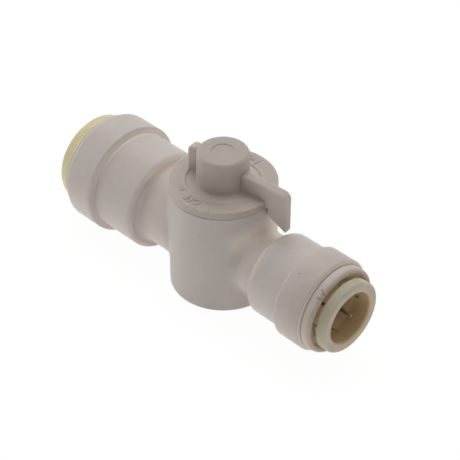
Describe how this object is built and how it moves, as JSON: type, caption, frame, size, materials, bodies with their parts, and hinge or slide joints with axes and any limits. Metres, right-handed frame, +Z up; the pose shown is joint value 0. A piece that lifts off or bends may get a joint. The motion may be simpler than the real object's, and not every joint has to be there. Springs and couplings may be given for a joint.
{
  "type": "in-line valve",
  "caption": "Off-white plastic in-line ball valve with push-fit tube sockets of two sizes, release collets and a quarter-turn lever handle on an upright barrel.",
  "frame": {"origin": "centre of the upright barrel's flat underside", "axes": "+X along the pipe axis from the large inlet socket to the small outlet socket, +Z up the stem to the handle"},
  "size_m": [0.0871, 0.0288, 0.0399],
  "materials": {
    "shell": "satin",
    "handle": "satin",
    "inlet_collet": "satin",
    "outlet_collet": "satin",
    "inner_plastic": "satin",
    "ball_seats": "smooth",
    "seals": "matt",
    "grab_rings": "bright"
  },
  "bodies": {
    "valve_body": {"body": "shell", "bonnet": "inner_plastic", "bonnet_seal": "seals", "thrust_washer": "ball_seats", "ball_seat_inlet": "ball_seats", "ball_seat_outlet": "ball_seats", "seat_seal_inlet": "seals", "seat_seal_outlet": "seals", "inlet_tube_seal": "seals", "outlet_tube_seal": "seals", "inlet_spacer": "inner_plastic", "outlet_spacer": "inner_plastic", "inlet_cap": "shell", "outlet_cap": "shell"},
    "handle": {"handle": "handle", "stem": "inner_plastic", "ball": "inner_plastic", "stem_seal_lower": "seals", "stem_seal_upper": "seals"},
    "inlet_collet": {"inlet_collet": "inlet_collet", "inlet_grab_ring": "grab_rings"},
    "outlet_collet": {"outlet_collet": "outlet_collet", "outlet_grab_ring": "grab_rings"}
  },
  "joints": [
    {"name": "handle_turn", "type": "hinge", "parent": "valve_body", "child": "handle", "pos_m": [0, 0, 0.0122], "axis": [0, 0, 1], "range_deg": [-98.6, 0]},
    {"name": "inlet_collet_press", "type": "slide", "parent": "valve_body", "child": "inlet_collet", "axis": [1, 0, 0], "range_m": [0, 0.0015]},
    {"name": "outlet_collet_press", "type": "slide", "parent": "valve_body", "child": "outlet_collet", "axis": [-1, 0, 0], "range_m": [0, 0.0015]}
  ]
}
